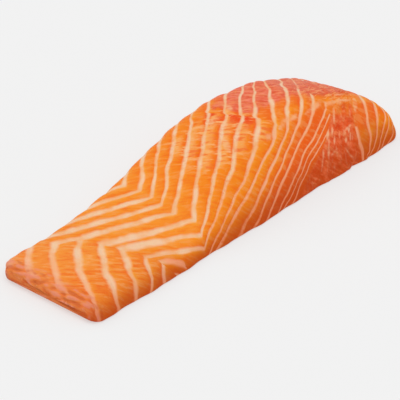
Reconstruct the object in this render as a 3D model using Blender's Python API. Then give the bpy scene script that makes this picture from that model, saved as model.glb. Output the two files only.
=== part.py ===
"""Salmon fillet portion: one raw, skinless, boneless piece cut straight across a side of salmon.

It lies flat with the thin belly end at -X and the thick back (loin) end at +X. The cut face that
leans back is at -Y, the upright one at +Y. The origin is the middle of its box, at the bottom.
The flesh is one solid: cross-sections with four rounded corners, lofted from end to end, with the
muscle blocks standing slightly proud between the lines of fat.
"""

import bmesh
import bpy
import numpy as np

MM = 0.001

# Overall size, in millimetres
LENGTH = 191.5
WIDTH = 52.0
LOIN_FLARE = 5.3

# Thickness along the piece: place from the belly end, at the near cut face, at the far cut face
THICKNESS = (
    (0.0, 7.2, 8.3),
    (35.0, 7.0, 8.0),
    (60.0, 5.9, 11.0),
    (78.0, 13.4, 16.8),
    (92.0, 19.4, 20.8),
    (108.0, 23.0, 23.7),
    (128.0, 27.4, 25.2),
    (150.0, 28.4, 23.0),
    (172.0, 23.7, 16.8),
    (196.5, 18.5, 9.9),
)
CROWN = 1.5

# Cut faces: how far each leans for a unit of height
NEAR_LEAN = 0.6
FAR_LEAN = 0.1

# Belly end: rounding seen from the side and in plan, and how thick its blunt edge is
BELLY_ROUND = 5.7
BELLY_PLAN_ROUND = 5.9
BELLY_EDGE = 0.25
BELLY_SKEW = 1.0

# Back end: it rounds over to a low nose and undercuts to the base
NOSE_HEIGHT = 6.0
NOSE_RUN_NEAR = 21.7
NOSE_RUN_FAR = 38.9
NOSE_POWER = 2.2
NOSE_EDGE = 0.10
NOSE_UNDERCUT = 8.0
BACK_PLAN_ROUND_NEAR = 5.0
BACK_PLAN_ROUND_FAR = 9.2

# Reach of the rounded corners of a cross-section, measured along its sides
FOOT_REACH = 1.5
RIDGE_REACH = 9.0
SHOULDER_REACH = 8.0

# Slight waviness of the knife cuts
CUT_WAVES = ((61.0, 0.35, 0.4), (23.0, 0.22, 2.1), (11.0, 0.12, 4.4))

# Lines of fat: girth is measured round a cross-section from the foot of the near cut face.
# Line n crosses the girths of FOOT, RIDGE and SHOULDER at these places along the piece.
LINE_GIRTHS = (0.0, 29.5, 65.0)
FOOT_START = 65.0
FOOT_PITCH = 8.0
RIDGE_START = 105.0
RIDGE_PITCH = 9.2
SHOULDER_START = 141.4
SHOULDER_PITCH = 9.3
START_LINE = 8
CROWDED_LINE = 15
CROWDED_PITCH = 4.5

# In the belly half the lines fold twice: at the first fold they turn up towards the far face
FOLD_PLACE = 70.0
FOLD_GIRTH = 57.5
FOLD_PITCH = 6.6
MIDDLE_SLOPE = 0.47
BELLY_ARM_SLOPE = 1.35
BELLY_ARM_START = -54.0
BELLY_ARM_PITCH = 11.2
FOLD_ROUND = 1.2
LINES = np.arange(-4, 31)

# Muscle blocks: height of the bulge between two lines, and the width of the groove at a line
BLOCK_BULGE = 0.45
GROOVE_SHARPNESS = 0.45

# Fineness of the loft
STATIONS = 96
END_CROWDING = 0.055
RING = {"base": 4, "near_foot": 2, "near_face": 9, "ridge": 6, "top": 18, "shoulder": 5, "far_face": 7, "far_foot": 2}


def clear_scene():
    """Remove whatever the file opened with."""
    for obj in list(bpy.data.objects):
        bpy.data.objects.remove(obj, do_unlink=True)


def smooth_step(t):
    """Rise from 0 to 1 with level ends."""
    t = np.clip(t, 0.0, 1.0)
    return t * t * (3.0 - 2.0 * t)


def quarter_round(t, power=2.0):
    """Quarter of a superellipse: 0 and upright at t = 0, level at 1 from t = 1 on."""
    t = np.clip(t, 0.0, 1.0)
    return (1.0 - (1.0 - t) ** power) ** (1.0 / power)


def through_points(x, places, heights):
    """Smooth curve through points that never overshoots them: a cubic between neighbours,
    whose slope at each point is the harmonic mean of the slopes on its two sides."""
    places = np.asarray(places)
    heights = np.asarray(heights)
    gap = np.diff(places)
    rise = np.diff(heights) / gap
    slope = np.zeros_like(heights)
    same_way = rise[:-1] * rise[1:] > 0.0
    safe = np.where(same_way, rise[:-1] + rise[1:], 1.0)
    slope[1:-1] = np.where(same_way, 2.0 * rise[:-1] * rise[1:] / safe, 0.0)
    slope[0] = rise[0]
    slope[-1] = rise[-1]
    k = np.clip(np.searchsorted(places, x) - 1, 0, len(gap) - 1)
    t = (x - places[k]) / gap[k]
    start = (1.0 + 2.0 * t) * (1.0 - t) ** 2 * heights[k] + t * (1.0 - t) ** 2 * gap[k] * slope[k]
    end = t * t * (3.0 - 2.0 * t) * heights[k + 1] + t * t * (t - 1.0) * gap[k] * slope[k + 1]
    return start + end


def waviness(x, shift):
    """Sum of a few long, shallow waves left by the knife."""
    return sum(size * np.sin(2.0 * np.pi * x / length + phase + shift) for length, size, phase in CUT_WAVES)


def section_corners(x):
    """Four corners (near foot, ridge, shoulder, far foot) of the cross-section at each x, as (y, z),
    and how full the section is, from 0 at an end to 1 in the body."""
    places, near, far = zip(*THICKNESS)
    near_top = through_points(x, places, near)
    far_top = through_points(x, places, far)
    to_end = LENGTH - x
    belly_middle = 0.45 * near[0]
    belly_fill = BELLY_EDGE + (1.0 - BELLY_EDGE) * quarter_round(x / BELLY_ROUND)
    near_fill = NOSE_EDGE + (1.0 - NOSE_EDGE) * quarter_round(to_end / NOSE_RUN_NEAR, NOSE_POWER)
    far_fill = NOSE_EDGE + (1.0 - NOSE_EDGE) * quarter_round(to_end / NOSE_RUN_FAR, NOSE_POWER)
    floor = belly_middle * (1.0 - belly_fill)
    floor = floor + 0.8 * NOSE_HEIGHT * (1.0 - quarter_round(to_end / NOSE_UNDERCUT))
    tops = []
    for top, nose_fill in ((near_top, near_fill), (far_top, far_fill)):
        top = belly_middle + (top - belly_middle) * belly_fill
        top = NOSE_HEIGHT + (top - NOSE_HEIGHT) * nose_fill
        tops.append(np.maximum(top, floor + 0.8))
    near_top, far_top = tops
    belly_inset = BELLY_PLAN_ROUND * (1.0 - quarter_round(x / BELLY_PLAN_ROUND))
    near_inset = BACK_PLAN_ROUND_NEAR * (1.0 - quarter_round(to_end / BACK_PLAN_ROUND_NEAR))
    far_inset = BACK_PLAN_ROUND_FAR * (1.0 - quarter_round(to_end / BACK_PLAN_ROUND_FAR))
    near_foot_y = belly_inset + near_inset + waviness(x, 0.0)
    far_foot_y = WIDTH + LOIN_FLARE * x / LENGTH - belly_inset - far_inset + waviness(x, 1.7)
    corners = (
        (near_foot_y, floor),
        (near_foot_y + NEAR_LEAN * (near_top - floor), near_top),
        (far_foot_y + FAR_LEAN * (far_top - floor), far_top),
        (far_foot_y, floor),
    )
    fullness = belly_fill * np.minimum(near_fill, far_fill)
    return [np.stack(corner, axis=1) for corner in corners], fullness


def toward(start, goal, reach):
    """Point at the given reach from start on the way to goal, at most just short of half way."""
    way = goal - start
    distance = np.linalg.norm(way, axis=1, keepdims=True)
    return start + way * np.minimum(reach[:, None] / distance, 0.45)


def side_points(start, goal, count):
    """Evenly spaced points of a straight side, without its goal."""
    t = np.linspace(0.0, 1.0, count, endpoint=False)[None, :, None]
    return start[:, None] * (1.0 - t) + goal[:, None] * t


def corner_points(start, corner, goal, count):
    """Points of a rounded corner: a quadratic curve pulled towards the sharp corner."""
    t = np.linspace(0.0, 1.0, count, endpoint=False)[None, :, None]
    return (1.0 - t) ** 2 * start[:, None] + 2.0 * t * (1.0 - t) * corner[:, None] + t * t * goal[:, None]


def cross_sections(x):
    """Closed ring of (y, z) points at each x: base, near foot, near face, ridge, top, shoulder, far face, foot."""
    (near_foot, ridge, shoulder, far_foot), fullness = section_corners(x)
    near_height = ridge[:, 1] - near_foot[:, 1]
    far_height = shoulder[:, 1] - far_foot[:, 1]
    foot = np.minimum(FOOT_REACH, 0.3 * near_height)
    ridge_reach = np.minimum(RIDGE_REACH, 0.6 * near_height)
    shoulder_reach = np.minimum(SHOULDER_REACH, 0.6 * far_height)
    base_far = toward(far_foot, near_foot, foot)
    base_near = toward(near_foot, far_foot, foot)
    near_low = toward(near_foot, ridge, foot)
    near_high = toward(ridge, near_foot, ridge_reach)
    top_near = toward(ridge, shoulder, ridge_reach)
    top_far = toward(shoulder, ridge, shoulder_reach)
    far_high = toward(shoulder, far_foot, shoulder_reach)
    far_low = toward(far_foot, shoulder, foot)
    ring = np.concatenate((
        side_points(base_far, base_near, RING["base"]),
        corner_points(base_near, near_foot, near_low, RING["near_foot"]),
        side_points(near_low, near_high, RING["near_face"]),
        corner_points(near_high, ridge, top_near, RING["ridge"]),
        side_points(top_near, top_far, RING["top"]),
        corner_points(top_far, shoulder, far_high, RING["shoulder"]),
        side_points(far_high, far_low, RING["far_face"]),
        corner_points(far_low, far_foot, base_far, RING["far_foot"]),
    ), axis=1)
    y = ring[..., 0]
    z = ring[..., 1]
    across = np.clip((y - ridge[:, :1]) / (shoulder[:, :1] - ridge[:, :1]), 0.0, 1.0)
    height = (z - near_foot[:, 1:]) / np.maximum(near_height, far_height)[:, None]
    z = z + CROWN * 4.0 * across * (1.0 - across) * smooth_step(height) * fullness[:, None]
    return y, z


def ring_girth(y, z):
    """Length round each ring from the foot of the near face, negative on the base beside it."""
    step = np.hypot(np.diff(y, axis=1), np.diff(z, axis=1))
    girth = np.concatenate((np.zeros((len(y), 1)), np.cumsum(step, axis=1)), axis=1)
    foot = RING["base"] + RING["near_foot"] // 2
    return girth - girth[:, foot:foot + 1]


def line_columns(n):
    """Places where line n crosses the foot, ridge and shoulder girths; past the crowded line they close up."""
    along = n - START_LINE
    crowded = np.maximum(n - CROWDED_LINE, 0)
    foot = FOOT_START + FOOT_PITCH * along
    ridge = RIDGE_START + RIDGE_PITCH * along - (RIDGE_PITCH - CROWDED_PITCH) * crowded
    shoulder = SHOULDER_START + SHOULDER_PITCH * along - (SHOULDER_PITCH - CROWDED_PITCH) * crowded
    return foot, ridge, shoulder


def soft_min(a, b, radius):
    """Lesser of two heights, with the corner between them rounded."""
    return 0.5 * (a + b - np.sqrt((a - b) ** 2 + radius ** 2))


def line_girth(x, n):
    """Girth at which fat line n lies at each x: a W of four straight arms with rounded folds."""
    foot, ridge, shoulder = line_columns(n)
    low, middle, high = LINE_GIRTHS
    face_arm = low + (x - foot) * (middle - low) / (ridge - foot)
    top_arm = middle + (x - ridge) * (high - middle) / (shoulder - ridge)
    back_arm = np.where(x < ridge, face_arm, top_arm)
    fold = FOLD_GIRTH - FOLD_PITCH * n
    middle_arm = fold + MIDDLE_SLOPE * (FOLD_PLACE - x)
    belly_arm = BELLY_ARM_SLOPE * (x - BELLY_ARM_START - BELLY_ARM_PITCH * n)
    folded = -soft_min(-middle_arm, -back_arm, FOLD_ROUND)
    return soft_min(folded, belly_arm, FOLD_ROUND)


def line_number(x, girth):
    """Running number of the fat lines at each point of the rings: whole on a line, halves between two."""
    number = np.empty_like(girth)
    for i, place in enumerate(x):
        at = line_girth(place, LINES)
        number[i] = np.interp(girth[i], at[::-1], LINES[::-1])
    return number


def block_relief(y, z, number):
    """Outward push of the muscle blocks, fading out to nothing on the flat base."""
    groove = np.abs(np.sin(np.pi * number)) ** GROOVE_SHARPNESS
    off_base = smooth_step((z - 1.0) / 4.0)
    return BLOCK_BULGE * (groove - 1.0) * off_base


def ring_normals(y, z):
    """Outward unit directions in the plane of each ring."""
    along_y = np.roll(y, -1, axis=1) - np.roll(y, 1, axis=1)
    along_z = np.roll(z, -1, axis=1) - np.roll(z, 1, axis=1)
    size = np.hypot(along_y, along_z)
    return -along_z / size, along_y / size


def fillet_rings():
    """All rings of the loft as an array of station, ring point and (x, y, z), in metres, centred on the origin."""
    t = np.linspace(0.0, 1.0, STATIONS)
    x = LENGTH * (t - END_CROWDING * np.sin(2.0 * np.pi * t))
    y, z = cross_sections(x)
    number = line_number(x, ring_girth(y, z))
    push = block_relief(y, z, number)
    out_y, out_z = ring_normals(y, z)
    y = y + push * out_y
    z = z + push * out_z
    skew = BELLY_SKEW * (0.5 - y / WIDTH) * (1.0 - x / LENGTH)[:, None]
    rings = np.stack((x[:, None] + skew, y, z), axis=2)
    corners = rings.reshape(-1, 3)
    middle = 0.5 * (corners.min(axis=0) + corners.max(axis=0))
    middle[2] = corners[:, 2].min()
    return (rings - middle) * MM


def loft(name, rings):
    """Closed body through the rings, its two ends closed by fans round their middles."""
    body = bmesh.new()
    grid = [[body.verts.new(point) for point in ring] for ring in rings]
    for ring, following in zip(grid, grid[1:]):
        for j in range(len(ring)):
            k = (j + 1) % len(ring)
            body.faces.new((ring[j], following[j], following[k], ring[k]))
    for ring in (grid[0], grid[-1]):
        hub = body.verts.new(np.mean([vert.co for vert in ring], axis=0))
        for j in range(len(ring)):
            body.faces.new((ring[j], ring[(j + 1) % len(ring)], hub))
    bmesh.ops.recalc_face_normals(body, faces=body.faces)
    mesh = bpy.data.meshes.new(name)
    body.to_mesh(mesh)
    body.free()
    mesh.shade_smooth()
    mesh.set_sharp_from_angle(angle=np.radians(50.0))
    obj = bpy.data.objects.new(name, mesh)
    bpy.context.scene.collection.objects.link(obj)
    return obj


def flesh_material():
    """Wet orange salmon flesh."""
    material = bpy.data.materials.new("salmon_flesh")
    material.use_nodes = True
    shader = material.node_tree.nodes["Principled BSDF"]
    shader.inputs["Base Color"].default_value = (0.83, 0.27, 0.07, 1.0)
    shader.inputs["Roughness"].default_value = 0.35
    shader.inputs["Metallic"].default_value = 0.0
    return material


def main():
    clear_scene()
    fillet = loft("salmon_fillet", fillet_rings())
    fillet.data.materials.append(flesh_material())


main()
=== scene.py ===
"""Looks of a raw salmon fillet portion: the fine surface of the flesh, its fat lines and its wet finish."""

import math

import bpy
import numpy as np
from mathutils import Matrix, Vector


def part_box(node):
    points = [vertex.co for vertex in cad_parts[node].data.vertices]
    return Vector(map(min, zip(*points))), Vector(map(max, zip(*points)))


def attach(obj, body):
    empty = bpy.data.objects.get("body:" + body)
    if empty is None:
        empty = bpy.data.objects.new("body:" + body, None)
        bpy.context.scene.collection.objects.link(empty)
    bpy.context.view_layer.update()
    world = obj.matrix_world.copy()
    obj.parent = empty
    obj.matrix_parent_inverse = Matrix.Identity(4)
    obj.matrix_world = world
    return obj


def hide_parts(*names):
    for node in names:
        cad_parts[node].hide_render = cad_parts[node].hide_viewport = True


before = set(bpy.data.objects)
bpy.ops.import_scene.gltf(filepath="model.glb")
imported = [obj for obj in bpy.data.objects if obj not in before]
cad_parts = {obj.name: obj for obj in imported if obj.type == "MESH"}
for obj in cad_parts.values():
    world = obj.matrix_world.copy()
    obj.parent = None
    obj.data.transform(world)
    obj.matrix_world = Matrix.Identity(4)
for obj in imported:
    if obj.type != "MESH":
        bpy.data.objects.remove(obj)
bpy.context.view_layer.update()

MM = 0.001

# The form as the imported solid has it, in millimetres; leans, edges, lifts and powers are plain ratios
LENGTH = 191.5
WIDTH = 52.0
LOIN_FLARE = 5.3
THICKNESS = (
    (0.0, 7.2, 8.3),
    (35.0, 7.0, 8.0),
    (60.0, 5.9, 11.0),
    (78.0, 13.4, 16.8),
    (92.0, 19.4, 20.8),
    (108.0, 23.0, 23.7),
    (128.0, 27.4, 25.2),
    (150.0, 28.4, 23.0),
    (172.0, 23.7, 16.8),
    (196.5, 18.5, 9.9),
)
CROWN = 1.5
NEAR_LEAN = 0.6
FAR_LEAN = 0.1
BELLY_ROUND = 5.7
BELLY_PLAN_ROUND = 5.9
BELLY_EDGE = 0.25
BELLY_MIDDLE = 0.45
BELLY_SKEW = 1.0
NOSE_HEIGHT = 6.0
NOSE_RUN_NEAR = 21.7
NOSE_RUN_FAR = 38.9
NOSE_POWER = 2.2
NOSE_EDGE = 0.10
NOSE_UNDERCUT = 8.0
NOSE_BASE_LIFT = 0.8
LEAST_HEIGHT = 0.8
BACK_PLAN_ROUND_NEAR = 5.0
BACK_PLAN_ROUND_FAR = 9.2
FOOT_REACH = 1.5
RIDGE_REACH = 9.0
SHOULDER_REACH = 8.0
# A rounding takes at most these shares of the height
FOOT_SHARE = 0.3
EDGE_SHARE = 0.6
CUT_WAVES = ((61.0, 0.35, 0.4), (23.0, 0.22, 2.1), (11.0, 0.12, 4.4))

# Lines of fat. Girth is measured round a cross-section from the foot of the near cut face.
# Back arms, lines 1 to 16: where each crosses the foot, the ridge and the far shoulder.
ARM_GIRTHS = (1.0, 28.0, 62.0)
FOOT_PLACES = (19, 25, 31, 38, 46, 58, 60, 63.5, 69.5, 74, 88.5, 97, 104, 112.5, 116.5, 121)
RIDGE_PLACES = (48, 55, 60, 65, 73, 82, 92, 101, 114, 126, 134, 141, 149.5, 159, 164.5, 170)
SHOULDER_PLACES = (78, 86.5, 94.5, 103, 112, 121, 132, 142, 149.5, 157, 168, 178.5, 186, 193, 199, 204)
# Nose lines, after the torn patch: how far along each stands, and how far its foot falls back
PATCH_STEPS = 6
NOSE_LINES = ((167.6, 2.0), (177.0, 10.5), (184.6, 17.5), (188.5, 15.0), (191.8, 15.0))
NOSE_STEP = 5.0
NOSE_FOOT = 6.0
NOSE_BEND = 20.0
NOSE_BEND_SOFTNESS = 6.0
# Step across the top where the lines on the near side have slipped along
SLIP = 1.9
SLIP_PLACE = 145.8
SLIP_LEAN = 0.43
SLIP_FADE = 17.0
SLIP_GIRTHS = (33.0, 61.0)
# Middle arms, lines 1 to 9: girth of each under the fold, where it starts to droop towards the fold,
# and how steeply it runs to the belly
FOLD_PLACE = 70.0
FOLD_GIRTHS = (51.7, 44.7, 38.2, 32.0, 26.2, 17.6, 11.5, 2.0, -2.0)
DROOP_FROM = (70, 70, 70, 70, 64, 66, 59, 66, 46)
DROOP = 0.05
DROOP_REACH = 8.0
FOLD_PITCH = 7.0
MIDDLE_SLOPE = 0.43
MIDDLE_STEEPER = 0.055
STEEPER_BEFORE = 5.6
# Belly arms: places where they leave the foot, and their bend towards the shoulder
BELLY_START = 33.5
BELLY_PITCH = 8.4
BELLY_WIDER = 0.9
BELLY_LEAN = 0.35
BELLY_BEND = 0.0095
LAST_ARMS_BACK = 1.7
LAST_ARMS_LEAN = 0.2
BELLY_RIM_REACH = 6.0
# Fold between the belly arms and the middle arms, which line 5 closes off
BELLY_FOLD_PLACE = 47.5
BELLY_FOLD_LEAN = 0.355
CLOSING_LINE = 5
CLOSING_GAP = 1.6
CLOSING_END = 24.5
OUT_OF_REACH = 40.0
FOLD_SOFTNESS = 0.5
# First and last line number of each family
BACK_NUMBERS = (-4, 34)
MIDDLE_NUMBERS = (-8, 14)
BELLY_NUMBERS = (-1, 20)
# How far the lines turn back past the shoulder, from where on, and how far they wander
FAR_TURN = 1.0
FAR_TURN_FROM = 60.0
WANDER = 0.38
FINE_WANDER = 0.3

# Colour zones: lower edge of the pink flesh, belly-side edge of the torn patch, its first and last line
PINK_PLACES = (112, 120, 124, 126.5, 130, 143.5, 149, 163, 171, 192)
PINK_GIRTHS = (66, 62, 60, 50, 44, 45, 41, 41, 35, 33)
TORN_PLACE = 142.5
TORN_LEAN = 0.62
PATCH_FIRST_LINE = 16.5
PATCH_LAST_LINE = 22.6
# Strokes of torn fibre and smears of fat: place and girth of both ends, and width
SCARS = (
    (158.5, 20.5, 162.0, 26.0, 0.9),
    (155.2, 17.0, 156.8, 19.4, 0.9),
    (154.2, 12.9, 156.0, 15.6, 0.8),
    (151.4, 16.0, 153.8, 19.4, 1.3),
    (148.0, 8.8, 150.8, 12.8, 0.9),
    (145.0, 9.6, 147.2, 13.0, 0.8),
    (164.0, 14.0, 165.4, 16.0, 1.2),
    (160.7, 10.8, 161.9, 12.6, 1.1),
    (162.8, 15.6, 166.5, 16.6, 0.7),
    (169.5, 31.6, 174.3, 29.8, 0.8),
    (167.0, 28.9, 173.9, 25.6, 0.8),
    (152.6, 16.5, 148.0, 8.4, 0.5),
    (159.1, 8.8, 161.3, 2.4, 0.6),
    (149.8, 9.2, 154.6, 10.6, 0.3),
    (145.9, 11.3, 141.8, 5.4, 0.4),
    (149.6, 5.4, 149.0, 2.6, 0.5),
    (164.9, 13.6, 163.4, 10.8, 0.8),
    (158.0, 6.6, 156.2, 2.8, 0.3),
)
SMEARS = (
    (127.6, 59.0, 126.3, 53.0, 2.8),
    (119.5, 50.5, 114.5, 45.5, 2.0),
    (110.0, 42.0, 105.0, 33.5, 2.6),
    (116.5, 54.5, 113.0, 52.0, 2.2),
    (177.0, 25.8, 172.4, 20.6, 2.4),
    (121.4, 29.0, 125.8, 30.2, 1.9),
    (130.4, 30.0, 132.8, 31.0, 1.6),
    (138.4, 30.4, 143.0, 32.2, 1.5),
    (147.0, 30.4, 156.2, 30.8, 1.7),
)

# Direction of the long axis of the flakes, which the fibres cross: cosine and sine of 42 degrees
FIBRE_COSINE = 0.743
FIBRE_SINE = 0.669
# Width of a line of fat, as a share of the block beside it
LINE_WIDTH = 0.13

# Screen colours of the flesh between the lines of fat
BLOCK_COLOURS = (
    (0.05, (247, 166, 48)),
    (0.30, (244, 134, 22)),
    (0.60, (244, 134, 22)),
    (0.92, (242, 108, 14)),
)
PINK_COLOURS = ((0.30, (222, 70, 34)), (0.48, (232, 98, 62)), (0.70, (244, 140, 114)))
TORN_COLOURS = ((0.32, (204, 50, 16)), (0.50, (230, 84, 32)), (0.72, (246, 142, 100)))
RAW_COLOURS = ((0.32, (202, 50, 14)), (0.50, (224, 76, 24)), (0.72, (240, 116, 62)))
CLOUDY_ORANGE = (240, 104, 14)
THIN_PART_AMBER = (248, 166, 62)
BELLY_HAZE = (246, 172, 108)
RED_FLESH = (236, 86, 24)
COMBED_PALE = (246, 186, 114)
COMBED_RED = (238, 98, 34)
BLOT_RED = (236, 70, 16)
DARK_FIBRE = (238, 88, 20)
LIGHT_FIBRE = (246, 178, 112)
FINE_FIBRE = (246, 160, 84)
RIM_FLESH = (222, 118, 76)
# Painted highlight on the crests of the rim's wrinkles, and painted shade in their hollows
WRINKLE_CREST_HIGHLIGHT = (234, 146, 118)
WRINKLE_HOLLOW_SHADE = (206, 92, 42)
# Painted shade, laid over the colour low on the sides
PAINTED_LOW_SHADE = (182, 62, 4)
# Screen colours of the fat
DULL_CREAM = (242, 182, 130)
CREAM = (242, 202, 164)
PEACH = (251, 171, 128)
# Painted glints, short pale dashes on the torn patch
DASH_GLINT = (246, 178, 132)
SMUDGE_FAT = (246, 190, 142)
# Fat along the ridge, lightened as a painted highlight
RIDGE_FAT_AND_HIGHLIGHT = (246, 170, 118)
TORN_FIBRE = (248, 190, 146)
SCRIBBLE_FAT = (250, 176, 108)

# Moist surface: settings of the shader, roughness from low to high, and the height of the fibres
FINISH = {
    "IOR": 1.4,
    "Specular IOR Level": 0.12,
    "Subsurface Weight": 0.08,
    "Subsurface Radius": (1.0, 0.35, 0.15),
    "Subsurface Scale": 0.0015,
    "Coat Weight": 0.02,
    "Coat Roughness": 0.2,
}
ROUGHNESS = (0.38, 0.5)
FIBRE_HEIGHT = 0.2
FIBRE_STRENGTH = 0.35

# Fineness of the surface
STATIONS = 420
END_CROWDING = 0.055
RING = {"base": 44, "near_foot": 6, "near_face": 40, "ridge": 24, "top": 74, "shoulder": 18, "far_face": 20,
        "far_foot": 6}

# Relief, in millimetres
BLOCK_BULGE = 0.45
GROOVE_SHARPNESS = 0.45
WRINKLE_DEPTH = 0.3
CRAG_DEPTH = 0.16
UNEVENNESS = 0.05
FOOT_CRAG = 0.35
# How far the wrinkled belly rim reaches from the end, and over how much of that it fades
RIM_REACH = 11.5
RIM_FADE = 8.0

# View: direction in degrees, distance in metres, lens in millimetres and framing of the photograph
VIEW_AZIMUTH = -48.04
VIEW_ELEVATION = 32.86
VIEW_DISTANCE = 1.439
VIEW_LENS = 312.2
VIEW_SENSOR = 36.0
VIEW_REACH = 20.0
VIEW_TARGET = (0.0, 0.0, 0.010)
VIEW_SLIP = (-0.00088, -0.00689)

# Floor: how grey it is, how much it glows, how wide it is from the middle, and how far it lies below
FLOOR_GREY = 0.35
FLOOR_GLOW = 0.532
FLOOR_HALF_METRES = 3.0
FLOOR_DROP = 0.2

# Lights: even light all round, then name, energy, spread in degrees, direction towards each lamp
ALL_ROUND_LIGHT = 0.66
LIGHTS = (
    ("soft_light", 0.90, 50.0, (-0.20, -0.38, 0.90)),
    ("back_light", 0.45, 35.0, (-0.10, 0.75, 0.65)),
)


def smooth_step(t):
    """Rise from 0 to 1 with level ends: t squared times (3 - 2t)."""
    t = np.clip(t, 0.0, 1.0)
    return t * t * (3.0 - 2.0 * t)


def band(value, low, high, soft):
    """1 between low and high, fading to 0 over a soft edge on both sides."""
    return smooth_step((value - low) / soft + 0.5) * smooth_step((high - value) / soft + 0.5)


def rise(value, start, length):
    """0 up to start, then a smooth rise to 1 over the length."""
    return smooth_step((value - start) / length)


def fall(value, end, length):
    """1 at first, then a smooth fall over the length to 0 at end."""
    return smooth_step((end - value) / length)


def quarter_round(t, power=2.0):
    """Quarter of a superellipse: 0 and upright at t = 0, level at 1 from t = 1 on."""
    t = np.clip(t, 0.0, 1.0)
    return (1.0 - (1.0 - t) ** power) ** (1.0 / power)


def through_points(x, places, heights):
    """Smooth curve through points that never overshoots them: a cubic between neighbours,
    whose slope at each point is the harmonic mean of the slopes on its two sides."""
    places = np.asarray(places)
    heights = np.asarray(heights)
    gap = np.diff(places)
    chord = np.diff(heights) / gap
    slope = np.zeros_like(heights)
    same_way = chord[:-1] * chord[1:] > 0.0
    safe = np.where(same_way, chord[:-1] + chord[1:], 1.0)
    slope[1:-1] = np.where(same_way, 2.0 * chord[:-1] * chord[1:] / safe, 0.0)
    slope[0] = chord[0]
    slope[-1] = chord[-1]
    k = np.clip(np.searchsorted(places, x) - 1, 0, len(gap) - 1)
    t = (x - places[k]) / gap[k]
    start = (1.0 + 2.0 * t) * (1.0 - t) ** 2 * heights[k] + t * (1.0 - t) ** 2 * gap[k] * slope[k]
    end = t * t * (3.0 - 2.0 * t) * heights[k + 1] + t * t * (t - 1.0) * gap[k] * slope[k + 1]
    return start + end


def waviness(x, shift):
    """Sum of a few long, shallow waves left by the knife."""
    return sum(size * np.sin(2.0 * np.pi * x / length + phase + shift) for length, size, phase in CUT_WAVES)


def random_waves(a, b, length_a, length_b, seed, count=14):
    """Smooth random field between about -1 and 1: a sum of sine waves in seeded directions,
    whose wavelengths are about length_a along a and length_b along b."""
    draw = np.random.default_rng(seed)
    total = np.zeros(np.broadcast(a, b).shape)
    for _ in range(count):
        angle = draw.uniform(0.0, 2.0 * np.pi)
        pace = 2.0 * np.pi * draw.uniform(0.6, 1.6)
        phase = draw.uniform(0.0, 2.0 * np.pi)
        total = total + np.sin(pace * (np.cos(angle) * a / length_a + np.sin(angle) * b / length_b) + phase)
    return total / math.sqrt(count)


def section_corners(x):
    """Four corners (near foot, ridge, shoulder, far foot) of the cross-section at each x, as (y, z),
    and how full the section is, from 0 at an end to 1 in the body."""
    places, near, far = zip(*THICKNESS)
    near_top = through_points(x, places, near)
    far_top = through_points(x, places, far)
    to_end = LENGTH - x
    belly_middle = BELLY_MIDDLE * near[0]
    belly_fill = BELLY_EDGE + (1.0 - BELLY_EDGE) * quarter_round(x / BELLY_ROUND)
    near_fill = NOSE_EDGE + (1.0 - NOSE_EDGE) * quarter_round(to_end / NOSE_RUN_NEAR, NOSE_POWER)
    far_fill = NOSE_EDGE + (1.0 - NOSE_EDGE) * quarter_round(to_end / NOSE_RUN_FAR, NOSE_POWER)
    floor = belly_middle * (1.0 - belly_fill)
    floor = floor + NOSE_BASE_LIFT * NOSE_HEIGHT * (1.0 - quarter_round(to_end / NOSE_UNDERCUT))
    tops = []
    for top, nose_fill in ((near_top, near_fill), (far_top, far_fill)):
        top = belly_middle + (top - belly_middle) * belly_fill
        top = NOSE_HEIGHT + (top - NOSE_HEIGHT) * nose_fill
        tops.append(np.maximum(top, floor + LEAST_HEIGHT))
    near_top, far_top = tops
    belly_inset = BELLY_PLAN_ROUND * (1.0 - quarter_round(x / BELLY_PLAN_ROUND))
    near_inset = BACK_PLAN_ROUND_NEAR * (1.0 - quarter_round(to_end / BACK_PLAN_ROUND_NEAR))
    far_inset = BACK_PLAN_ROUND_FAR * (1.0 - quarter_round(to_end / BACK_PLAN_ROUND_FAR))
    near_foot_y = belly_inset + near_inset + waviness(x, 0.0)
    far_foot_y = WIDTH + LOIN_FLARE * x / LENGTH - belly_inset - far_inset + waviness(x, 1.7)
    corners = (
        (near_foot_y, floor),
        (near_foot_y + NEAR_LEAN * (near_top - floor), near_top),
        (far_foot_y + FAR_LEAN * (far_top - floor), far_top),
        (far_foot_y, floor),
    )
    fullness = belly_fill * np.minimum(near_fill, far_fill)
    return [np.stack(corner, axis=1) for corner in corners], fullness


def toward(start, goal, reach):
    """Point at the given reach from start on the way to goal, at most just short of half way."""
    way = goal - start
    distance = np.linalg.norm(way, axis=1, keepdims=True)
    return start + way * np.minimum(reach[:, None] / distance, 0.45)


def side_points(start, goal, count):
    """Evenly spaced points of a straight side, without its goal."""
    t = np.linspace(0.0, 1.0, count, endpoint=False)[None, :, None]
    return start[:, None] * (1.0 - t) + goal[:, None] * t


def corner_points(start, corner, goal, count):
    """Points of a rounded corner: a quadratic curve pulled towards the sharp corner."""
    t = np.linspace(0.0, 1.0, count, endpoint=False)[None, :, None]
    return (1.0 - t) ** 2 * start[:, None] + 2.0 * t * (1.0 - t) * corner[:, None] + t * t * goal[:, None]


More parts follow.
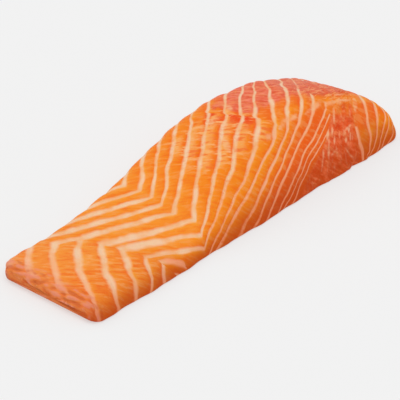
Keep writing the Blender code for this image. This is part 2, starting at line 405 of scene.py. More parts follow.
def cross_sections(x):
    """Closed ring of (y, z) points at each x: base, near foot, near face, ridge, top, shoulder, far face
    and far foot."""
    (near_foot, ridge, shoulder, far_foot), fullness = section_corners(x)
    near_height = ridge[:, 1] - near_foot[:, 1]
    far_height = shoulder[:, 1] - far_foot[:, 1]
    foot = np.minimum(FOOT_REACH, FOOT_SHARE * near_height)
    ridge_reach = np.minimum(RIDGE_REACH, EDGE_SHARE * near_height)
    shoulder_reach = np.minimum(SHOULDER_REACH, EDGE_SHARE * far_height)
    base_far = toward(far_foot, near_foot, foot)
    base_near = toward(near_foot, far_foot, foot)
    near_low = toward(near_foot, ridge, foot)
    near_high = toward(ridge, near_foot, ridge_reach)
    top_near = toward(ridge, shoulder, ridge_reach)
    top_far = toward(shoulder, ridge, shoulder_reach)
    far_high = toward(shoulder, far_foot, shoulder_reach)
    far_low = toward(far_foot, shoulder, foot)
    ring = np.concatenate((
        side_points(base_far, base_near, RING["base"]),
        corner_points(base_near, near_foot, near_low, RING["near_foot"]),
        side_points(near_low, near_high, RING["near_face"]),
        corner_points(near_high, ridge, top_near, RING["ridge"]),
        side_points(top_near, top_far, RING["top"]),
        corner_points(top_far, shoulder, far_high, RING["shoulder"]),
        side_points(far_high, far_low, RING["far_face"]),
        corner_points(far_low, far_foot, base_far, RING["far_foot"]),
    ), axis=1)
    y = ring[..., 0]
    z = ring[..., 1]
    across = np.clip((y - ridge[:, :1]) / (shoulder[:, :1] - ridge[:, :1]), 0.0, 1.0)
    height = (z - near_foot[:, 1:]) / np.maximum(near_height, far_height)[:, None]
    z = z + CROWN * 4.0 * across * (1.0 - across) * smooth_step(height) * fullness[:, None]
    return y, z


def ring_index(name):
    """Number of the ring point at which a stretch of the ring starts."""
    names = list(RING)
    return sum(RING[other] for other in names[:names.index(name)])


def ring_girth(y, z):
    """Length round each ring from the foot of the near face, negative on the base beside it."""
    step = np.hypot(np.diff(y, axis=1), np.diff(z, axis=1))
    girth = np.concatenate((np.zeros((len(y), 1)), np.cumsum(step, axis=1)), axis=1)
    foot = ring_index("near_foot") + RING["near_foot"] // 2
    return girth - girth[:, foot:foot + 1]


def straight_arm(n, girth):
    """Place of back arm n, 16 at most: straight from foot to ridge and on to the shoulder."""
    before = min(n - 1, 0)
    rows = (FOOT_PLACES, RIDGE_PLACES, SHOULDER_PLACES)
    foot, ridge, shoulder = (row[max(n - 1, 0)] + before * (row[1] - row[0]) for row in rows)
    low, middle, high = ARM_GIRTHS
    face = foot + (girth - low) * (ridge - foot) / (middle - low)
    top = ridge + (girth - middle) * (shoulder - ridge) / (high - middle)
    return np.where(girth < middle, face, top)


def nose_line(step, girth):
    """Place of a nose line: upright, with a foot that falls back and an upper part that leans forward."""
    stand, foot_back = NOSE_LINES[min(step, len(NOSE_LINES) - 1)]
    past = max(step - len(NOSE_LINES) + 1, 0)
    lean = 0.5 * (girth - NOSE_BEND + np.hypot(girth - NOSE_BEND, NOSE_BEND_SOFTNESS))
    return stand + NOSE_STEP * past - foot_back * np.exp(-girth / NOSE_FOOT) + lean


def back_arm(n, girth):
    """Place along the fillet of back arm n at each girth: straight arms up to line 16, even steps across
    the torn patch, then the nose lines."""
    last = len(FOOT_PLACES)
    step = n - last - PATCH_STEPS
    if step >= 0:
        return nose_line(step, girth)
    if n <= last:
        return straight_arm(n, girth)
    share = (n - last) / PATCH_STEPS
    return (1.0 - share) * straight_arm(last, girth) + share * nose_line(0, girth)


def before_slip(x, girth):
    """Distance along, on the belly side, from the slanting step where the lines have slipped."""
    return SLIP_PLACE - x - SLIP_LEAN * girth


def slip(x, girth):
    """How far the lines have slipped along: full just before the step across the top, and fading
    towards the fold."""
    before = before_slip(x, girth)
    fading = rise(before, 0.0, 0.5) * fall(before, SLIP_FADE, SLIP_FADE)
    return SLIP * fading * band(girth, *SLIP_GIRTHS, 6.0)


def middle_arm(n, x):
    """Girth of middle arm n at each place: a straight line that rises from the fold towards the belly,
    and droops a little beside the fold."""
    count = len(FOLD_GIRTHS)
    if n < 1:
        fold = FOLD_GIRTHS[0] + (1 - n) * FOLD_PITCH
    elif n <= count:
        fold = FOLD_GIRTHS[n - 1]
    else:
        fold = FOLD_GIRTHS[-1] - (n - count) * FOLD_PITCH
    slope = max(MIDDLE_SLOPE, MIDDLE_SLOPE + MIDDLE_STEEPER * (STEEPER_BEFORE - n))
    past = np.clip(x - DROOP_FROM[min(max(n, 1), count) - 1], 0.0, DROOP_REACH)
    return fold + slope * (FOLD_PLACE - x) - DROOP * past ** 2


def belly_arm(n, girth):
    """Place of belly arm n at each girth: a parabola that bends away from the end towards the shoulder.
    The last arms, from 8 on, start further back and lean more. Where an arm would leave the end it
    softens into half the sum of itself and its length, beside the rim."""
    step = n - 8
    last = 1.0 if step >= 0 else 0.0
    start = BELLY_START + BELLY_PITCH * step - BELLY_WIDER * min(step, 0) ** 2 - LAST_ARMS_BACK * last
    lean = BELLY_LEAN + LAST_ARMS_LEAN * last
    free = start + lean * girth + BELLY_BEND * girth ** 2
    return 0.5 * (free + np.sqrt(free ** 2 + BELLY_RIM_REACH ** 2))


def count_lines(value, line, first, last):
    """Running number of a family of lines: whole on a line, and rising evenly from one line to the next."""
    number = np.full(value.shape, float(first))
    here = line(first)
    for n in range(first, last):
        following = line(n + 1)
        number += np.clip((value - here) / (following - here), 0.0, 1.0)
        here = following
    return number


def line_numbers(x, girth):
    """Line numbers of the back and middle arms, of the belly arms, and the share of the belly arms."""
    back = count_lines(x, lambda n: back_arm(n, girth), *BACK_NUMBERS)
    middle = count_lines(-girth, lambda n: -middle_arm(n, x), *MIDDLE_NUMBERS)
    folded = np.maximum(back, middle)
    belly = count_lines(x, lambda n: belly_arm(n, girth), *BELLY_NUMBERS)
    before_fold = (BELLY_FOLD_PLACE - BELLY_FOLD_LEAN * girth - x) / FOLD_SOFTNESS
    past_closing = OUT_OF_REACH * fall(x, CLOSING_END, 2.5)
    closing = middle_arm(CLOSING_LINE, x) - CLOSING_GAP + past_closing
    under_closing = (closing - girth) / FOLD_SOFTNESS
    share = smooth_step(np.minimum(before_fold, under_closing) + 0.5)
    return folded, belly, share


def across_base():
    """Share of the way across for the ring points on the base: 0 at the far foot, 1 at the near foot."""
    return (np.arange(RING["base"]) / RING["base"])[None, :]


def turned_chart(x, girth, shoulder_girth):
    """Chart place from which each point takes its line. On the far face the lines turn back at the
    shoulder, so a point takes the line of a place further along it. The base repeats the lines
    between its two feet."""
    past = np.maximum(girth - shoulder_girth, 0.0)
    line_x = x + FAR_TURN * rise(x, FAR_TURN_FROM, 25.0) * past
    line_g = np.clip(girth, 0.0, shoulder_girth)
    t = across_base()
    count = RING["base"]
    line_x[:, :count] = line_x[:, -1:] * (1.0 - t) + line_x[:, count:count + 1] * t
    line_g[:, :count] = line_g[:, -1:] * (1.0 - t)
    return line_x, line_g


def surface_normals(points):
    """Outward unit normals of the grid, from the cross product of its two tangents."""
    along = np.gradient(points, axis=0)
    around = np.roll(points, -1, axis=1) - np.roll(points, 1, axis=1)
    normal = np.cross(along, around)
    return normal / (np.linalg.norm(normal, axis=2, keepdims=True) + 1e-9)


class Chart:
    """Everything that is known about the surface point by point, as arrays of station and ring point."""

    def __init__(self):
        t = np.linspace(0.0, 1.0, STATIONS)
        station = LENGTH * (t - END_CROWDING * np.sin(2.0 * np.pi * t))
        self.y, self.z = cross_sections(station)
        self.x = np.broadcast_to(station[:, None], self.y.shape)
        self.girth = ring_girth(self.y, self.z)
        middle_of = {name: ring_index(name) + RING[name] // 2 for name in RING}
        self.ridge_girth = self.girth[:, middle_of["ridge"]][:, None]
        self.shoulder_girth = self.girth[:, middle_of["shoulder"]][:, None]
        line_x, line_g = turned_chart(self.x, self.girth, self.shoulder_girth)
        line_x = line_x + WANDER * random_waves(self.x, self.girth, 13.0, 13.0, seed=11)
        line_x = line_x + FINE_WANDER * WANDER * random_waves(self.x, self.girth, 5.0, 5.0, seed=12)
        line_x = line_x - slip(self.x, self.girth)
        self.line, self.belly_line, self.belly_share = line_numbers(line_x, line_g)
        under_ridge = smooth_step((self.ridge_girth - self.girth) / 6.0 + 0.5)
        self.on_face = under_ridge * smooth_step(self.girth / 2.0 + 0.5)
        self.tall = rise(self.x, 60.0, 20.0)
        self.height = self.z / self.z.max(axis=1)[:, None]
        self.on_base = np.zeros(self.y.shape)
        self.on_base[:, :RING["base"]] = smooth_step(8.0 * np.minimum(across_base(), 1.0 - across_base()))
        stride = np.sqrt(sum(np.diff(part, axis=0) ** 2 for part in (self.x, self.y, self.z)))
        self.reach = np.concatenate((np.zeros((1, self.y.shape[1])), np.cumsum(stride, axis=0)))
        lumps = random_waves(self.reach, self.girth, 3.0, 9.0, seed=3)
        lumps = lumps + 0.35 * random_waves(self.reach, self.girth, 1.8, 4.0, seed=6)
        self.rim = fall(self.reach, RIM_REACH, RIM_FADE)
        self.wrinkles = lumps * self.rim


def groove(number):
    """Height across a muscle block: 0 in the middle, falling to -1 in a narrow groove on each line."""
    return np.abs(np.sin(np.pi * number)) ** GROOVE_SHARPNESS - 1.0


def relief(chart):
    """Outward push in millimetres: muscle blocks bulge between the fat lines, the belly edge is
    wrinkled, and the back end has small crags. Nothing moves on the flat base."""
    share = chart.belly_share
    push = BLOCK_BULGE * (groove(chart.line) * (1.0 - share) + groove(chart.belly_line) * share)
    push = push + WRINKLE_DEPTH * chart.wrinkles
    crags = band(chart.x, 148.0, 180.0, 14.0) * chart.on_face
    push = push + CRAG_DEPTH * crags * random_waves(chart.x, chart.girth, 6.0, 9.0, seed=5)
    push = push + UNEVENNESS * random_waves(chart.x, chart.girth, 7.0, 7.0, seed=8)
    return push * rise(chart.z, 1.0, 4.0)


def surface_points(chart):
    """The finished surface in metres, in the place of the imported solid's box."""
    skew = BELLY_SKEW * (0.5 - chart.y / WIDTH) * (1.0 - chart.x / LENGTH)
    points = np.stack((chart.x + skew, chart.y, chart.z), axis=2)
    points = points + relief(chart)[..., None] * surface_normals(points)
    at_foot = fall(np.abs(chart.girth), 10.0, 8.0) * band(chart.x, 146.0, 172.0, 10.0)
    points[..., 1] += FOOT_CRAG * at_foot * random_waves(chart.x, chart.girth, 5.0, 9.0, seed=9)
    low, high = (np.array(corner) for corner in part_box("salmon_fillet"))
    flat = points.reshape(-1, 3)
    middle = 0.5 * (flat.min(axis=0) + flat.max(axis=0))
    middle[2] = flat[:, 2].min()
    seat = 0.5 * (low + high)
    seat[2] = low[2]
    return (points - middle) * MM + seat


def closed_grid(rows, columns):
    """Faces of a tube of rows rings with columns points each, closed by a fan on a hub at both ends."""
    row = np.arange(rows - 1)[:, None] * columns
    column = np.arange(columns)[None, :]
    after = (column + 1) % columns
    quads = np.stack((row + column, row + columns + column, row + columns + after, row + after), axis=2)
    quads = quads.reshape(-1, 4)
    ring = np.arange(columns)
    ring_after = (ring + 1) % columns
    last = (rows - 1) * columns
    first_hub = rows * columns
    fan_first = np.stack((ring, ring_after, np.full(columns, first_hub)), axis=1)
    fan_last = np.stack((last + ring_after, last + ring, np.full(columns, first_hub + 1)), axis=1)
    return quads, np.concatenate((fan_first, fan_last))


def with_hubs(grid):
    """Grid values as one list, followed by the mean of the first ring and of the last ring."""
    flat = grid.reshape(grid.shape[0] * grid.shape[1], -1)
    return np.concatenate((flat, grid[0].reshape(grid.shape[1], -1).mean(axis=0)[None],
                           grid[-1].reshape(grid.shape[1], -1).mean(axis=0)[None]))


def mesh_piece(name, points, quads, fans, fields):
    """Smooth-shaded object from point and face arrays, with one stored field per name."""
    mesh = bpy.data.meshes.new(name)
    mesh.from_pydata(points.tolist(), [], quads.tolist() + fans.tolist())
    mesh.shade_smooth()
    for field, values in fields.items():
        kind = "FLOAT_VECTOR" if values.shape[1] == 3 else "FLOAT"
        key = "vector" if values.shape[1] == 3 else "value"
        store = mesh.attributes.new(field, kind, "POINT")
        store.data.foreach_set(key, values.astype(np.float32).ravel())
    piece = bpy.data.objects.new(name, mesh)
    bpy.context.scene.collection.objects.link(piece)
    return piece


def strokes(x, girth, marks):
    """1 on every stroke in its middle, fading to 0 over a soft edge; a stroke narrows towards both ends."""
    total = np.zeros(x.shape)
    for first_x, first_girth, last_x, last_girth, width in marks:
        run = last_x - first_x
        climb = last_girth - first_girth
        part = ((x - first_x) * run + (girth - first_girth) * climb) / (run * run + climb * climb)
        part = np.clip(part, 0.0, 1.0)
        distance = np.hypot(x - first_x - part * run, girth - first_girth - part * climb)
        half = 0.5 * width * (1.0 - 0.8 * (2.0 * part - 1.0) ** 2)
        total = np.maximum(total, smooth_step((half + 0.5 - distance) / 1.0))
    return total


class Zones:
    """Places and zones that several looks share: the two directions of the fibres, frayed edges, how far
    a point lies past the ridge, the far corner, the torn side of the near face, and the pink's edge."""

    def __init__(self, chart):
        x = chart.x
        girth = chart.girth
        self.along = FIBRE_COSINE * x + FIBRE_SINE * girth
        self.across = FIBRE_SINE * x - FIBRE_COSINE * girth
        self.frayed = random_waves(self.along, self.across, 9.0, 3.5, seed=21)
        self.on_top = 1.0 - chart.on_face
        self.past_ridge = girth - chart.ridge_girth
        self.far_corner = np.maximum(rise(x, 177.0, 5.0), rise(girth, 62.0, 5.0))
        self.torn_side = smooth_step((x - TORN_PLACE - TORN_LEAN * girth + self.frayed) / 3.0 + 0.5)
        self.pink_from = through_points(x, PINK_PLACES, PINK_GIRTHS)


def pink_zone(chart, zones):
    """Pink flesh on the far side of the thick part; its edges are frayed, and it thins out towards the
    back end."""
    far = rise(chart.girth, 60.0, 6.0)
    pink = smooth_step((chart.girth - zones.pink_from + 1.6 * zones.frayed) / 4.5 + 0.5)
    pink = pink * rise(chart.x + 3.0 * zones.frayed, 117.0, 6.0 + 24.0 * far)
    return pink * (1.0 - 0.8 * rise(chart.x, 154.0, 14.0))


def torn_patch(chart, zones):
    """Torn patch on the near face, from its slanting edge to the first nose line, weaker by the ridge."""
    patch = chart.on_face * np.maximum(zones.torn_side, rise(chart.line, PATCH_FIRST_LINE, 0.6))
    patch = patch * fall(chart.line, PATCH_LAST_LINE, 1.5)
    return patch * (1.0 - 0.75 * rise(chart.girth + 2.0 * zones.frayed, 20.5, 6.0))


def red_zones(chart, zones, patch):
    """Share of redder flesh everywhere, and its part on the far side of the back end, which is raw too."""
    x = chart.x
    girth = chart.girth
    face = 0.9 * chart.on_face * rise(chart.line, 10.0, 3.5) * rise(x, 61.5, 9.0) * fall(x, 173.0, 16.0)
    upper_end = rise(girth + 2.0 * zones.frayed, 19.0, 6.0) * rise(x, 152.0, 8.0)
    face = face * (1.0 - 0.7 * upper_end)
    far = rise(x + 3.0 * zones.frayed, 148.0, 14.0) * rise(zones.past_ridge, 2.0, 6.0)
    far = far * (1.0 - 0.5 * zones.far_corner)
    top = 0.6 * zones.on_top * rise(girth - zones.pink_from + 2.0 * zones.frayed, -11.0, 9.0)
    top = top * rise(x, 120.0, 8.0 + 20.0 * rise(girth, 60.0, 6.0))
    nose = 0.75 * chart.on_face * band(x, 169.0, 187.0, 8.0) * band(girth, 12.0, 22.5, 4.0)
    belly_end = 0.16 * fall(x, 27.0, 16.0)
    return np.maximum.reduce((patch, face, far, top, nose, belly_end)), far


def painted_shade_zone(chart):
    """Where shade is painted: 1 at the foot, fading out up the side; the fade reaches higher at the nose and
    at the belly.
    """
    nose = rise(chart.x, 158.0, 14.0)
    belly = fall(chart.x, 62.0, 20.0)
    top = 0.62 + 0.14 * nose + 0.42 * belly
    return smooth_step(1.0 - chart.height / top) * (1.0 - 0.6 * chart.on_base)


def amber_zone(chart, zones):
    """Paler flesh on top of the thin part, which stops at the near side of the belly."""
    near_belly = chart.belly_share * (1.0 - rise(chart.girth, 18.0, 14.0))
    return fall(chart.x, 92.0, 30.0) * zones.on_top * (1.0 - near_belly)


def short_band(chart):
    """The stretch of line 9 that is a short wide band of fat at the near side of the belly."""
    return band(chart.line, 8.5, 9.5, 0.2) * (chart.girth < 12.0) * (chart.x < 66.0)


def fat_width(chart):
    """Width of the lines of fat as a share of a block: wide on the middle arms and on the short band,
    narrow at the foot of the belly and on the far side of the thick part."""
    x = chart.x
    girth = chart.girth
    middle = band(x, 6.0, FOLD_PLACE, 10.0) * rise(girth, 5.0, 8.0) * (1.0 - chart.belly_share)
    broad = middle * band(chart.line, 5.6, 7.5, 0.6) * band(x, 22.0, 56.0, 10.0)
    width = LINE_WIDTH + (0.10 - 0.045 * rise(x, 50.0, 12.0)) * middle + 0.09 * broad
    width = width + (0.05 * rise(girth, 0.0, 30.0) - 0.025) * chart.belly_share
    width = width - 0.006 * chart.on_face * chart.tall
    width = width * (1.0 - 0.3 * rise(girth, 44.0, 8.0) * rise(x, 100.0, 12.0))
    return width + 0.2 * rise(x, 43.0, 6.0) * short_band(chart)


def fat_rosiness(chart, low):
    """How rosy the fat is: most on the near face, low down, at the belly end and on the short band."""
    rosy = 0.65 * chart.on_face * chart.tall + 0.7 * low + 0.6 * fall(chart.x, 24.0, 22.0)
    rosy = np.maximum(rosy, rise(chart.x, 43.0, 6.0) * short_band(chart))
    return np.clip(rosy, 0.0, 1.0)


def fat_fading(chart, zones):
    """Where lines of fat are missing or weak: in and above the torn patch, on the far side, past the
    closing line, past the short band, at the rim, and a little where the fillet starts to thicken."""
    x = chart.x
    torn = chart.on_face * zones.torn_side * fall(chart.line, 21.6, 0.4)
    torn = np.maximum(torn, chart.on_face * band(chart.line, 16.6, 21.6, 0.6))
    reach_up = 16.0 * fall(chart.line, 14.0, 2.0) - 2.0
    far = zones.on_top * rise(chart.line, 11.4, 1.2) * rise(zones.past_ridge, reach_up, 3.0)
    far = far * (1.0 - zones.far_corner)
    nose_root = rise(chart.line, 21.0, 0.2) * rise(chart.girth, 13.4, 2.5)
    above_patch = np.maximum(zones.on_top, nose_root) * band(chart.line, 14.6, 22.5, 0.3)
    past_closing = fall(x, CLOSING_END, 2.0) * (1.0 - chart.belly_share)
    past_band = rise(x, 53.5, 0.8) * short_band(chart)
    rim = fall(chart.reach, 6.0, 4.0)
    weak = 0.36 * band(x, 72.0, 106.0, 12.0) * chart.on_face
    weak = weak + 0.26 * band(x, 78.0, 122.0, 14.0) * zones.on_top
    return np.maximum.reduce((torn, far, above_patch, past_closing, past_band, rim, weak))


def streak_zones(chart, zones):
    """Shares of combed flesh, of the red blots on the belly side of the slip, and of the scribbles of
    fat on the far side of the back end."""
    before = before_slip(chart.x, chart.girth)
    streaky = band(chart.x, 90.0, 128.0, 14.0) * band(chart.girth, 29.0, 58.0, 9.0)
    streaky = np.maximum(streaky, 0.4 * chart.belly_share)
    blotted = rise(before, 0.0, 0.8) * fall(before, 13.0, 11.0) * band(chart.girth, 37.0, 60.0, 4.0)
    scribbled = rise(chart.x, 150.0, 10.0) * rise(zones.past_ridge, -3.0, 4.0)
    scribbled = scribbled * (1.0 - 0.4 * rise(zones.past_ridge, 20.0, 10.0)) * (1.0 - 0.9 * zones.far_corner)
    return streaky, blotted, scribbled


def fat_marks(chart, zones):
    """Strokes of torn fibre, smears of fat, and the broken smear that follows the ridge, which is fat and a
    painted highlight along the ridge.
    """
    scars = strokes(chart.x, chart.girth, SCARS)
    smears = strokes(chart.x, chart.girth, SMEARS)
    ridge_smear_and_highlight = band(zones.past_ridge, -1.2, 1.2, 1.4) * band(chart.x, 121.0, 169.0, 5.0)
    return scars, smears, ridge_smear_and_highlight


def look_fields(chart):
    """Fields that the flesh material reads, three values each."""
    zones = Zones(chart)
    patch = torn_patch(chart, zones)
    red, red_far = red_zones(chart, zones, patch)
    low = painted_shade_zone(chart)
    fields = {
        "chart": (zones.along, zones.across, chart.girth),
        "lines": (chart.line, chart.belly_line, chart.belly_share),
        "zones": (pink_zone(chart, zones), red, low),
        "fat_look": (fat_width(chart), fat_rosiness(chart, low), 1.0 - fat_fading(chart, zones)),
        "streaks": streak_zones(chart, zones),
        "torn": (patch, chart.wrinkles, chart.x),
        "rim": (chart.rim, amber_zone(chart, zones), red_far),
        "marks": fat_marks(chart, zones),
    }
    return {name: with_hubs(np.stack(values, axis=2)) for name, values in fields.items()}


def linear(colour):
    """Linear colour from 0 to 255 screen values."""
    def one(value):
        value = value / 255.0
        return value / 12.92 if value <= 0.04045 else ((value + 0.055) / 1.055) ** 2.4
    return tuple(one(value) for value in colour) + (1.0,)


class Wiring:
    """Short names for the node steps that a material is made of."""

    def __init__(self, name):
        self.material = bpy.data.materials.new(name)
        self.material.use_nodes = True
        self.tree = self.material.node_tree
        self.shader = self.tree.nodes["Principled BSDF"]

    def put(self, socket, value):
        """Link a socket, or set a plain value on it."""
        if isinstance(value, bpy.types.NodeSocket):
            self.tree.links.new(value, socket)
        else:
            socket.default_value = value

    def math(self, kind, a, b=None):
        """One step of arithmetic on one or two numbers."""
        node = self.tree.nodes.new("ShaderNodeMath")
        node.operation = kind
        self.put(node.inputs[0], a)
        if b is not None:
            self.put(node.inputs[1], b)
        return node.outputs[0]

    def plus(self, a, b):
        """Sum of a and b."""
        return self.math("ADD", a, b)

    def minus(self, a, b):
        """a less b."""
        return self.math("SUBTRACT", a, b)

    def times(self, a, b):
        """Product of a and b."""
        return self.math("MULTIPLY", a, b)

    def off_middle(self, value):
        """How far a value lies from a half, either way."""
        return self.math("ABSOLUTE", self.minus(value, 0.5))

    def field(self, name):
        """The three values of a stored field."""
        node = self.tree.nodes.new("ShaderNodeAttribute")
        node.attribute_name = name
        split = self.tree.nodes.new("ShaderNodeSeparateXYZ")
        self.put(split.inputs[0], node.outputs["Vector"])
        return split.outputs[0], split.outputs[1], split.outputs[2]

    def vector(self, x, y, z):
        """A place from its three numbers."""
        node = self.tree.nodes.new("ShaderNodeCombineXYZ")
        for socket, value in zip(node.inputs, (x, y, z)):
            self.put(socket, value)
        return node.outputs[0]

    def noise(self, where, detail=2.0, rough=0.55):
        """Cloudy noise around 0.5, in the units of the given place."""
        node = self.tree.nodes.new("ShaderNodeTexNoise")
        node.noise_dimensions = "3D"
        self.put(node.inputs["Vector"], where)
        node.inputs["Scale"].default_value = 1.0
        node.inputs["Detail"].default_value = detail
        node.inputs["Roughness"].default_value = rough
        return node.outputs["Fac"]

    def stretched_noise(self, a, pace_a, b, pace_b, layer, detail=2.0, rough=0.55):
        """Noise with its own pace along a and along b, in a layer of its own."""
        return self.noise(self.vector(self.times(a, pace_a), self.times(b, pace_b), layer), detail, rough)

    def mix_value(self, amount, a, b):
        """Number a to number b by amount."""
        return self.plus(a, self.times(amount, self.minus(b, a)))

    def spread(self, value, low, high, new_low=0.0, new_high=1.0):
        """Smooth rise from new_low to new_high as value goes from low to high."""
        node = self.tree.nodes.new("ShaderNodeMapRange")
        node.interpolation_type = "SMOOTHSTEP"
        for key, number in (("Value", value), ("From Min", low), ("From Max", high),
                            ("To Min", new_low), ("To Max", new_high)):
            self.put(node.inputs[key], number)
        return node.outputs["Result"]

    def blend(self, amount, a, b):
        """Colour a to colour b by amount."""
        node = self.tree.nodes.new("ShaderNodeMix")
        node.data_type = "RGBA"
        sockets = [socket for socket in node.inputs if socket.enabled]
        factor, first, second = sockets[0], sockets[-2], sockets[-1]
        self.put(factor, amount)
        self.put(first, a)
        self.put(second, b)
        return next(socket for socket in node.outputs if socket.enabled)

    def tint(self, amount, under, colour):
        """One screen colour laid over what is under it, by amount."""
        return self.blend(amount, under, linear(colour))

    def ramp(self, value, stops):
        """Colour along a row of (place, screen colour) stops."""
        node = self.tree.nodes.new("ShaderNodeValToRGB")
        node.color_ramp.interpolation = "B_SPLINE"
        marks = node.color_ramp.elements
        while len(marks) < len(stops):
            marks.new(0.5)
        for mark, (place, colour) in zip(marks, stops):
            mark.position = place
            mark.color = linear(colour)
        self.put(node.inputs[0], value)
        return node.outputs[0]

    def bump(self, height, distance, strength):
        """Normal tilted as if the height, times the distance in metres, stood on the surface."""
        node = self.tree.nodes.new("ShaderNodeBump")
        node.inputs["Distance"].default_value = distance
        node.inputs["Strength"].default_value = strength
        self.put(node.inputs["Height"], height)
        return node.outputs[0]


class Grain:
    """The stored fields as sockets, the phase across each muscle block, and the noises in the flesh."""

    def __init__(self, w):
        self.along, self.across, girth = w.field("chart")
        line, belly_line, belly_share = w.field("lines")
        self.pink, self.red, self.low = w.field("zones")
        self.fat_width, self.rosy, self.shown = w.field("fat_look")
        self.streaky, self.blotted, self.scribbled = w.field("streaks")
        self.patch, self.wrinkle, place = w.field("torn")
        self.scar, self.smear, self.ridge_smear_and_highlight = w.field("marks")
        self.rim, self.amber, self.red_far = w.field("rim")

        back_phase, back_block = self.number_parts(w, line, 0.0)
        belly_phase, belly_block = self.number_parts(w, belly_line, 7.0)
        self.on_belly = w.math("GREATER_THAN", belly_share, 0.5)
        self.phase = w.mix_value(self.on_belly, back_phase, belly_phase)
        block = w.mix_value(self.on_belly, back_block, w.plus(belly_block, 40.0))

        self.comb = w.stretched_noise(self.along, 0.62, self.across, 0.16, w.times(block, 3.7), 3.0)
        self.fine = w.stretched_noise(self.across, 1.3, self.along, 0.16, 5.0, 3.0, 0.6)
        self.cloud = w.stretched_noise(self.along, 0.13, self.across, 0.13, 9.0)
        self.mottle = w.stretched_noise(self.along, 0.5, self.across, 0.22, 12.0, 3.0, 0.6)
        self.scrawl = w.stretched_noise(place, 0.09, girth, 0.36, 4.0, 2.0, 0.5)
        self.gaps = w.stretched_noise(place, 0.16, girth, 0.2, 15.0)
        slanted = w.plus(w.times(place, 0.55), w.times(girth, -0.28))
        self.dash = w.noise(w.vector(slanted, w.times(girth, 0.16), 2.0), 2.0, 0.5)

    def number_parts(self, w, number, layer):
        """Phase across a block and number of the block, from a line number that wobbles a little."""
        wobble = w.stretched_noise(self.along, 0.5, self.across, 0.5, layer)
        number = w.plus(number, w.times(w.minus(wobble, 0.5), 0.04))
        return w.math("FRACT", number), w.math("FLOOR", number)


def fat_share(w, grain):
    """1 on a line of fat, with ragged edges; the width comes and goes, and faded lines break up."""
    from_line = w.minus(0.5, w.off_middle(grain.phase))
    ragged = w.plus(from_line, w.times(w.minus(grain.comb, 0.5), 0.03))
    half = w.times(grain.fat_width, w.spread(grain.cloud, 0.3, 0.7, 0.84, 1.2))
    fat = w.spread(ragged, w.times(half, 0.32), w.times(half, 1.5), 1.0, 0.0)
    return w.times(fat, w.spread(w.plus(grain.shown, w.minus(grain.comb, 0.5)), 0.2, 0.8))


def flesh_colour(w, grain):
    """Amber to deep orange across each block, then the paler, redder, pink, torn and raw zones."""
    across_block = w.mix_value(grain.shown, 0.45, grain.phase)
    flesh = w.ramp(across_block, BLOCK_COLOURS)
    flesh = w.tint(w.spread(grain.cloud, 0.56, 0.72, 0.0, 0.45), flesh, CLOUDY_ORANGE)
    flesh = w.tint(w.times(grain.amber, 0.3), flesh, THIN_PART_AMBER)
    flesh = w.tint(w.times(grain.on_belly, 0.1), flesh, BELLY_HAZE)
    flesh = w.tint(w.times(grain.red, 0.85), flesh, RED_FLESH)
    pink = w.times(grain.pink, w.spread(grain.cloud, 0.3, 0.5, 0.6, 0.95))
    flesh = w.blend(pink, flesh, w.ramp(grain.mottle, PINK_COLOURS))
    flesh = w.blend(w.times(grain.patch, 0.75), flesh, w.ramp(grain.mottle, TORN_COLOURS))
    return w.blend(w.times(grain.red_far, 0.75), flesh, w.ramp(grain.mottle, RAW_COLOURS))


def with_fibres(w, grain, flesh):
    """Flesh with its fibres: in the combed zone each block is pale behind its line of fat and red before
    the next, the blots lie over that, and dark, light and fine fibres run through all of it."""
    combed = w.spread(grain.streaky, 0.4, 0.9)
    serrated = w.plus(grain.phase, w.times(w.minus(grain.comb, 0.5), 1.1))
    flesh = w.tint(w.times(combed, w.spread(serrated, 0.35, 0.62, 0.42, 0.0)), flesh, COMBED_PALE)
    flesh = w.tint(w.times(combed, w.spread(serrated, 0.6, 0.85, 0.0, 0.55)), flesh, COMBED_RED)
    flesh = w.tint(w.times(grain.blotted, w.spread(grain.cloud, 0.36, 0.52)), flesh, BLOT_RED)
    dark = w.times(w.spread(grain.comb, 0.48, 0.34, 0.0, 0.65), w.spread(grain.streaky, 0.0, 1.0, 0.5, 1.0))
    light = w.times(w.spread(grain.comb, 0.50, 0.64, 0.0, 0.9), w.spread(grain.streaky, 0.0, 1.0, 0.27, 1.0))
    flesh = w.tint(dark, flesh, DARK_FIBRE)
    flesh = w.tint(light, flesh, LIGHT_FIBRE)
    return w.tint(w.spread(grain.fine, 0.58, 0.76, 0.0, 0.35), flesh, FINE_FIBRE)


def with_fat(w, grain, fat, flesh):
    """Flesh under its lines of fat, from cream to peach, and under the smaller marks of fat; painted glints
    lie over the torn patch as short dashes.
    """
    cream = w.blend(w.spread(grain.cloud, 0.34, 0.64), linear(DULL_CREAM), linear(CREAM))
    colour = w.blend(w.times(fat, 0.95), flesh, w.tint(grain.rosy, cream, PEACH))
    # Painted glints: short pale dashes over the torn patch
    glint_dashes = w.times(w.spread(grain.dash, 0.58, 0.68), w.times(grain.patch, 0.4))
    smudges = w.times(grain.smear, w.spread(grain.comb, 0.35, 0.6, 0.2, 0.65))
    # Broken smear along the ridge: fat and a painted highlight
    broken = w.times(grain.ridge_smear_and_highlight, w.spread(grain.gaps, 0.42, 0.62, 0.0, 0.8))
    tears = w.times(grain.scar, w.spread(grain.mottle, 0.3, 0.6, 0.5, 0.95))
    scrawls = w.times(grain.scribbled, w.spread(w.off_middle(grain.scrawl), 0.006, 0.026, 0.6, 0.0))
    colour = w.tint(glint_dashes, colour, DASH_GLINT)
    colour = w.tint(smudges, colour, SMUDGE_FAT)
    colour = w.tint(broken, colour, RIDGE_FAT_AND_HIGHLIGHT)
    colour = w.tint(tears, colour, TORN_FIBRE)
    return w.tint(scrawls, colour, SCRIBBLE_FAT)


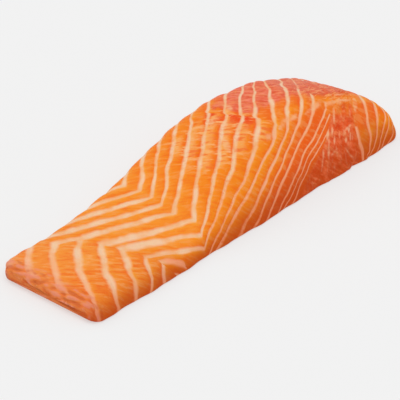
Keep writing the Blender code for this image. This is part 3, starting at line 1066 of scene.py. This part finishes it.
def with_rim_and_painted_light(w, grain, fat, colour):
    """The wrinkled rosy rim with a painted highlight on each crest and painted shade in each hollow, and
    painted shade low on the sides, which fat and pale spots resist.
    """
    colour = w.tint(w.times(grain.rim, 0.45), colour, RIM_FLESH)
    # Painted highlight on the wrinkle crests and painted shade in the wrinkle hollows, following the height
    # of the relief
    colour = w.tint(w.spread(grain.wrinkle, 0.0, 0.9, 0.0, 0.75), colour, WRINKLE_CREST_HIGHLIGHT)
    colour = w.tint(w.spread(grain.wrinkle, 0.0, -0.9, 0.0, 0.6), colour, WRINKLE_HOLLOW_SHADE)
    # Painted shade low on the sides, weaker on fat and on pale spots of the torn patch
    lighter = w.math("MAXIMUM", fat, w.times(grain.patch, w.spread(grain.mottle, 0.45, 0.72)))
    return w.tint(w.times(grain.low, w.mix_value(lighter, 0.86, 0.5)), colour, PAINTED_LOW_SHADE)


def flesh_material():
    """Raw salmon: pale lines of fat at the whole line numbers, amber to deep orange across each block,
    fine fibres across it, and a moist surface."""
    w = Wiring("salmon_flesh")
    grain = Grain(w)
    fat = fat_share(w, grain)
    flesh = with_fibres(w, grain, flesh_colour(w, grain))
    colour = with_rim_and_painted_light(w, grain, fat, with_fat(w, grain, fat, flesh))
    w.put(w.shader.inputs["Base Color"], colour)
    w.put(w.shader.inputs["Roughness"], w.spread(grain.fine, 0.3, 0.7, *ROUGHNESS))
    for setting, value in FINISH.items():
        w.shader.inputs[setting].default_value = value
    heights = w.plus(w.times(grain.comb, 0.6), w.times(grain.fine, 0.4))
    w.put(w.shader.inputs["Normal"], w.bump(heights, FIBRE_HEIGHT * MM, FIBRE_STRENGTH))
    return w.material


def floor_material():
    """Plain pale floor that glows a little, so that shadows on it stay faint."""
    material = bpy.data.materials.new("pale_floor")
    material.use_nodes = True
    shader = material.node_tree.nodes["Principled BSDF"]
    shader.inputs["Base Color"].default_value = (FLOOR_GREY, FLOOR_GREY, FLOOR_GREY, 1.0)
    shader.inputs["Roughness"].default_value = 0.9
    shader.inputs["Specular IOR Level"].default_value = 0.0
    shader.inputs["Emission Color"].default_value = (1.0, 1.0, 1.0, 1.0)
    shader.inputs["Emission Strength"].default_value = FLOOR_GLOW
    return material


def make_fillet():
    """The flesh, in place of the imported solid."""
    chart = Chart()
    points = with_hubs(surface_points(chart))
    quads, fans = closed_grid(*chart.y.shape)
    piece = mesh_piece("fillet_flesh", points, quads, fans, look_fields(chart))
    piece.data.materials.append(flesh_material())
    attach(piece, "root")
    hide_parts("salmon_fillet")


def make_floor():
    """Wide level floor, a hair under the base of the fillet."""
    half = FLOOR_HALF_METRES
    level = -FLOOR_DROP * MM
    corners = [(-half, -half, level), (half, -half, level), (half, half, level), (-half, half, level)]
    mesh = bpy.data.meshes.new("floor")
    mesh.from_pydata(corners, [], [(0, 1, 2, 3)])
    floor = bpy.data.objects.new("floor", mesh)
    bpy.context.scene.collection.objects.link(floor)
    mesh.materials.append(floor_material())


def make_lights():
    """Even pale surroundings, a broad soft light from above on the near side, and a weaker one behind."""
    world = bpy.data.worlds.new("studio")
    world.use_nodes = True
    background = world.node_tree.nodes["Background"]
    background.inputs["Color"].default_value = (1.0, 1.0, 1.0, 1.0)
    background.inputs["Strength"].default_value = ALL_ROUND_LIGHT
    bpy.context.scene.world = world
    for name, energy, spread, toward_light in LIGHTS:
        lamp = bpy.data.lights.new(name, "SUN")
        lamp.energy = energy
        lamp.angle = math.radians(spread)
        light = bpy.data.objects.new(name, lamp)
        light.rotation_euler = Vector(toward_light).to_track_quat("Z", "Y").to_euler()
        bpy.context.scene.collection.objects.link(light)


def make_camera():
    """Long lens at the photograph's direction; the view is slipped sideways to frame the fillet alike."""
    azimuth = math.radians(VIEW_AZIMUTH)
    elevation = math.radians(VIEW_ELEVATION)
    right = Vector((math.cos(azimuth), math.sin(azimuth), 0.0))
    back = Vector((math.sin(azimuth) * math.cos(elevation), -math.cos(azimuth) * math.cos(elevation),
                   math.sin(elevation)))
    up = back.cross(right)
    data = bpy.data.cameras.new("camera")
    data.lens = VIEW_LENS
    data.sensor_width = VIEW_SENSOR
    data.clip_end = VIEW_REACH
    camera = bpy.data.objects.new("camera", data)
    place = Vector(VIEW_TARGET) + back * VIEW_DISTANCE + right * VIEW_SLIP[0] + up * VIEW_SLIP[1]
    turn = Matrix((right, up, back)).transposed().to_4x4()
    camera.matrix_world = Matrix.Translation(place) @ turn
    bpy.context.scene.collection.objects.link(camera)
    bpy.context.scene.camera = camera


make_camera()
make_fillet()
make_floor()
make_lights()
bpy.context.scene.view_settings.view_transform = "Standard"
